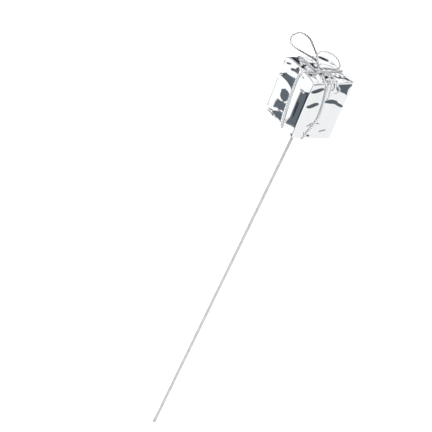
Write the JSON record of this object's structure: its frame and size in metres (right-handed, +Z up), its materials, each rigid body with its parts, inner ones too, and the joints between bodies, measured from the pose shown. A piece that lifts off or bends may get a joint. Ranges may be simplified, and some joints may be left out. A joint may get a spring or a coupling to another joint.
{
  "type": "decorative gift parcel pick",
  "caption": "Small foil-wrapped parcel tied with metallic cord and a bow, glued on a thin white push-in stem; a decoration for cakes, flowers and plant pots.",
  "frame": {"origin": "centre of the stem's cut foot", "axes": "+Z up along the stem to the parcel, -Y the parcel's front face, +X its right face"},
  "size_m": [0.0232, 0.0225, 0.1907],
  "materials": {
    "steel_wire": "drawn steel wire, cut end",
    "white_sleeve": "semi-gloss white plastic coating",
    "hot_glue": "milky hot-melt glue",
    "white_foam": "expanded polystyrene beads",
    "silver_film": "mirror-bright metallised film, creased",
    "clear_tape": "clear glossy tape",
    "silver_cord": "twisted metallic lame thread"
  },
  "bodies": {
    "root": {"stem_wire_core": "steel_wire", "stem_sleeve": "white_sleeve", "stem_glue": "hot_glue", "foam_core": "white_foam", "foil_wrap": "silver_film", "seam_tape": "clear_tape", "bottom_tape": "clear_tape", "cord_band_front": "silver_cord", "cord_band_side": "silver_cord", "bow_knot": "silver_cord", "bow_loop_large": "silver_cord", "bow_loop_small": "silver_cord", "bow_tail_long": "silver_cord", "bow_tail_curled": "silver_cord"}
  },
  "joints": []
}
